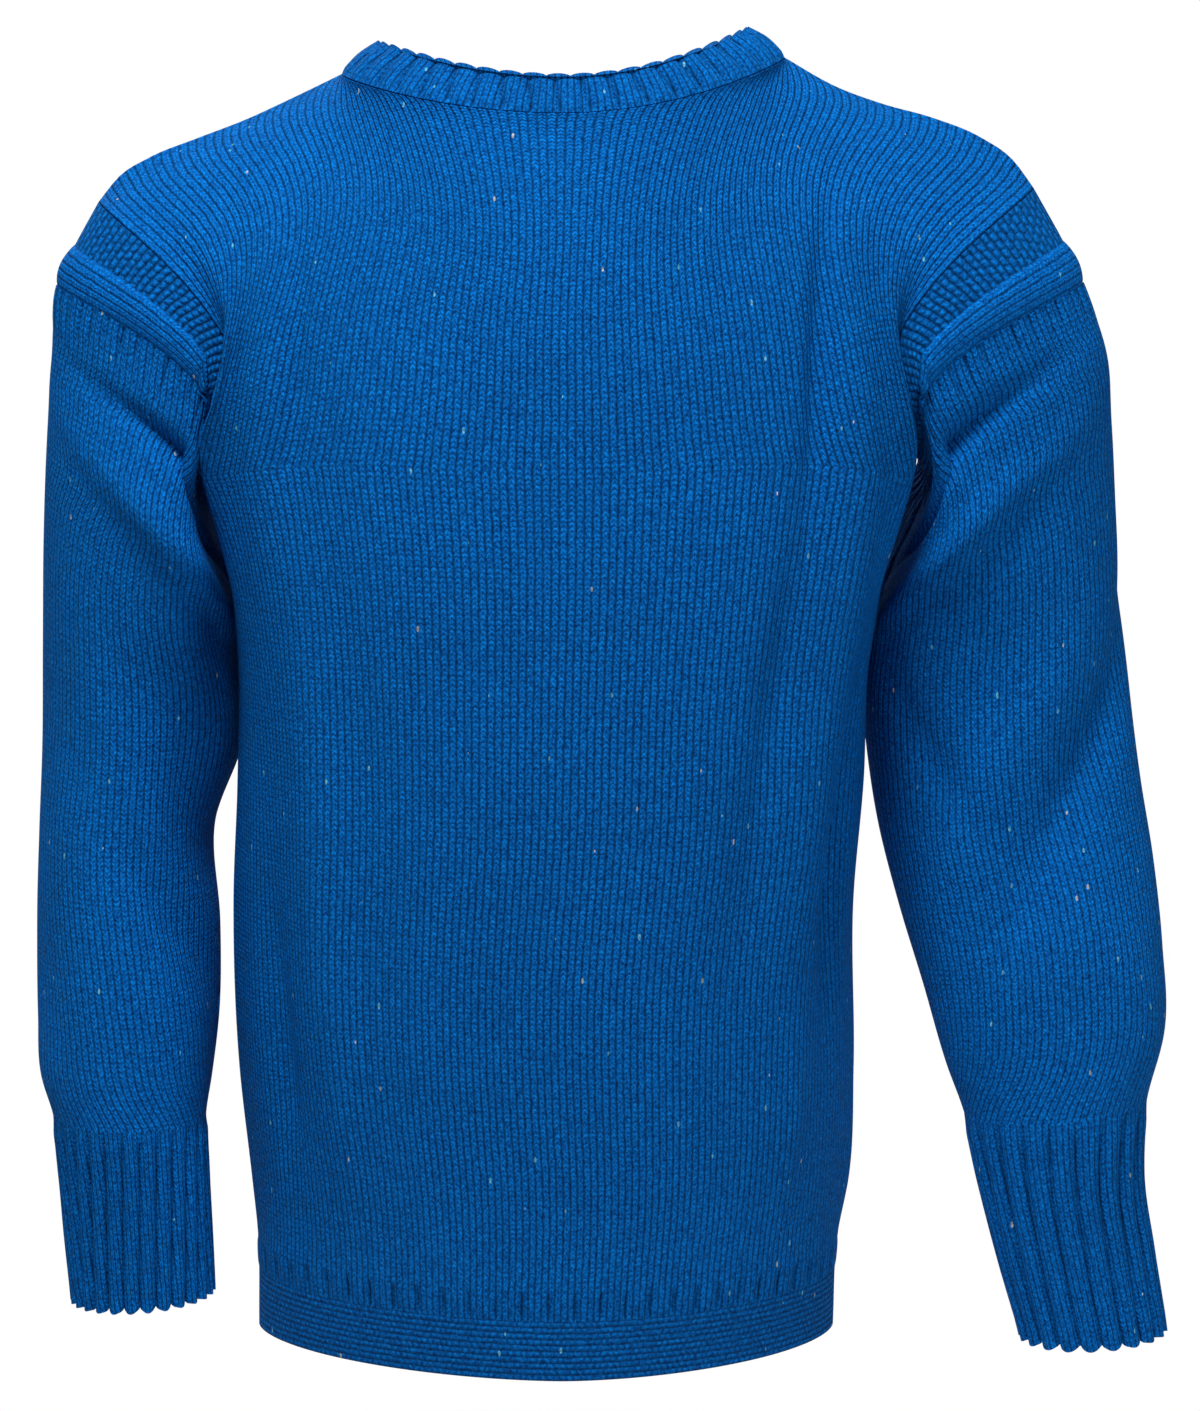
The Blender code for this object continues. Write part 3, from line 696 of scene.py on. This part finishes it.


# the garter strips are the body's wool painted a little darker, as painted shade
garter_wool = wool("garter_wool", garter_stitch, 0.0015, 0.85, painted_shade_factor=0.95)
band_wool = wool("band_wool", stocking_stitch, 0.0010, 0.75)
for arm, turn in (("left", 1), ("right", -1)):
    grid = arm_tube(arm, BODY_EDGE, GARTER_EDGE, GARTER_ROWS, ROUND_ARM)
    garter = knitted_shell("armhole_garter_" + arm + "_knit", grid,
                           grid_normals(grid, True, turn), True, turn,
                           along_armhole(stitch_counts(grid, True, wales=2 * GARTER_RIDGES)),
                           garter_wool)
    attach(garter, "root")
    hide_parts("armhole_garter_" + arm)

    grid = arm_tube(arm, GARTER_EDGE, BAND_EDGE, BAND_ROWS, ROUND_ARM)
    raised = np.sin(np.linspace(0, np.pi, len(grid)))[:, None] ** 0.7 * BAND_HEIGHT
    raised = np.broadcast_to(raised, grid.shape[:2])
    band = knitted_shell("armhole_band_" + arm + "_knit", grid, grid_normals(grid, True, turn),
                         True, turn,
                         along_armhole(stitch_counts(grid, True, wales=BAND_COURSES)),
                         band_wool, raised)
    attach(band, "root")
    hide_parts("armhole_band_" + arm)


# ---- Sleeves -------------------------------------------------------------------------------------
# Tubes of stocking stitch knitted down from the armhole band. They begin with short ribs and
# lose wales along the line under the arm. Their cloth gathers in soft folds at the elbow.
SLEEVE_FOLDS = {
    "left": (
        (0.20, -0.250, 0.60, 0.050, 0.060, 0.006),
        (0.15, -0.370, 0.80, 0.060, 0.050, -0.006),
        (0.72, -0.330, -0.60, 0.070, 0.060, -0.005),
        (0.90, -0.262, 0.00, 0.050, 0.040, 0.009),
        (0.02, -0.400, 0.00, 0.080, 0.035, -0.0050),
        (1.00, -0.400, 0.00, 0.080, 0.035, -0.0050),
        (0.215, -0.205, 3.60, 0.024, 0.036, -0.0150),
        (0.215, -0.238, 3.20, 0.040, 0.045, 0.0110),
        (0.150, -0.440, 2.20, 0.050, 0.045, -0.0060),
        (0.300, -0.330, 0.80, 0.045, 0.055, 0.0020),
        (0.640, -0.420, -1.00, 0.050, 0.060, 0.0040),
        (0.860, -0.300, 1.20, 0.040, 0.050, -0.0040),
        (0.400, -0.480, 0.60, 0.060, 0.040, -0.0025),
    ),
    "right": (
        (0.30, -0.205, 0.60, 0.060, 0.050, -0.006),
        (0.33, -0.370, 1.60, 0.040, 0.080, -0.009),
        (0.75, -0.350, 0.80, 0.070, 0.070, -0.005),
        (0.90, -0.258, 0.00, 0.050, 0.040, 0.007),
        (0.92, -0.236, 0.00, 0.060, 0.028, 0.0080),
        (0.220, -0.200, 3.20, 0.024, 0.038, -0.0150),
        (0.220, -0.236, 3.00, 0.040, 0.045, 0.0110),
        (0.160, -0.360, -1.20, 0.030, 0.035, -0.0040),
        (0.240, -0.360, 1.50, 0.045, 0.070, 0.0055),
        (0.360, -0.470, -0.80, 0.050, 0.050, 0.0030),
        (0.640, -0.440, 1.00, 0.050, 0.060, 0.0040),
        (0.860, -0.320, -1.20, 0.040, 0.050, -0.0040),
    ),
}
CUFF_START = 12
TOP_RIBS = 54
TOP_RIB_LENGTH = 0.016
TOP_RIB_DEPTH = 0.0022
SLEEVE_ROWS = 120
SLEEVE_ROUND = 3 * ROUND_ARM
# folds fade out over this share of the rows at each end of a sleeve
END_FADE = 0.05

for arm, turn in (("left", 1), ("right", -1)):
    grid = arm_tube(arm, BAND_EDGE, CUFF_START, SLEEVE_ROWS, SLEEVE_ROUND)
    turns = np.broadcast_to(np.arange(SLEEVE_ROUND) / SLEEVE_ROUND, grid.shape[:2])
    rows = np.arange(len(grid))
    from_ends = np.clip(np.minimum(rows, rows[::-1]) / (END_FADE * SLEEVE_ROWS), 0, 1)[:, None]
    push = fold_height(SLEEVE_FOLDS[arm], turns, grid[:, :, 2]) * from_ends
    grid = grid + push[:, :, None] * grid_normals(grid, True, turn)
    down = np.linalg.norm(np.diff(grid, axis=0), axis=2)
    down = np.concatenate([np.zeros((1, SLEEVE_ROUND)), np.cumsum(down, axis=0)])
    ending = np.clip(1.3 - down / TOP_RIB_LENGTH, 0, 1)
    raised = rib_heights(TOP_RIBS, SLEEVE_ROUND, True, TOP_RIB_DEPTH)[None, :] * ending ** 0.5
    sleeve = knitted_shell("sleeve_" + arm + "_knit", grid, grid_normals(grid, True, turn),
                           True, turn, stitch_counts(grid, True), body_wool, raised)
    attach(sleeve, "root")
    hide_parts("sleeve_" + arm)


# ---- Cuffs ---------------------------------------------------------------------------------------
# Deep two-and-two ribs that draw the sleeves in at the wrists. The ribs lean a little and their
# cast-off edge is scalloped.
CUFF_END = 15
CUFF_RIBS = {"left": 26, "right": 20}
CUFF_SKEW = {"left": -0.030, "right": 0.020}
CUFF_RIB_DEPTH = 0.0044
CUFF_ROWS = 44
POINTS_PER_RIB = 16
# the cast-off edge is scalloped: over this last share of a cuff the ribs also reach down
SCALLOP_SHARE = 0.07

for arm, turn in (("left", 1), ("right", -1)):
    columns = CUFF_RIBS[arm] * POINTS_PER_RIB
    grid = arm_tube(arm, CUFF_START, CUFF_END, CUFF_ROWS, columns)
    share = np.linspace(0, 1, len(grid))
    raised = rib_heights(CUFF_RIBS[arm], columns, True, CUFF_RIB_DEPTH,
                         skew=CUFF_SKEW[arm] * share)
    raised = raised * np.clip(share / 0.10, 0, 1)[:, None]
    scallop = np.clip((share - (1 - SCALLOP_SHARE)) / SCALLOP_SHARE, 0, 1)[:, None]
    grid[:, :, 2] -= raised * 0.9 * scallop
    cuff = knitted_shell("cuff_" + arm + "_knit", grid, grid_normals(grid, True, turn), True,
                         turn,
                         stitch_counts(grid, True, wales=WALES_PER_RIB * CUFF_RIBS[arm]),
                         rib_wool, raised)
    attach(cuff, "root")
    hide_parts("cuff_" + arm)


# ---- Neckband ------------------------------------------------------------------------------------
# A low two-and-two rib picked up round the neck: plump pads with narrow grooves between. The
# band leans inwards and its cast-off edge is soft and a little uneven.
NECK_RIBS = 42
NECK_RIB_DEPTH = 0.0030
NECK_SKEW = 0.006
NECK_ROWS = 14
NECK_COLUMNS_ROUND = NECK_RIBS * POINTS_PER_RIB

around = np.linspace(-1, 1, NECK_COLUMNS_ROUND // 2 + 1)
neck_rings = []
for edge in np.linspace(0, len(NECK_EDGES) - 1, NECK_ROWS + 1):
    front = neck_row(edge, around, "front")
    back = neck_row(edge, around[::-1], "back")
    neck_rings.append(np.concatenate([front[:-1], back[:-1]]))
grid = np.array(neck_rings)
share = np.linspace(0, 1, len(grid))
raised = rib_heights(NECK_RIBS, NECK_COLUMNS_ROUND, True, NECK_RIB_DEPTH,
                     skew=NECK_SKEW * share)
raised = raised * np.clip(share / 0.12, 0, 1)[:, None]
neckband = knitted_shell("neckband_knit", grid, grid_normals(grid, True, 1), True, 1,
                         stitch_counts(grid, True, wales=WALES_PER_RIB * NECK_RIBS), rib_wool,
                         raised)
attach(neckband, "root")
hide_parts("neckband")
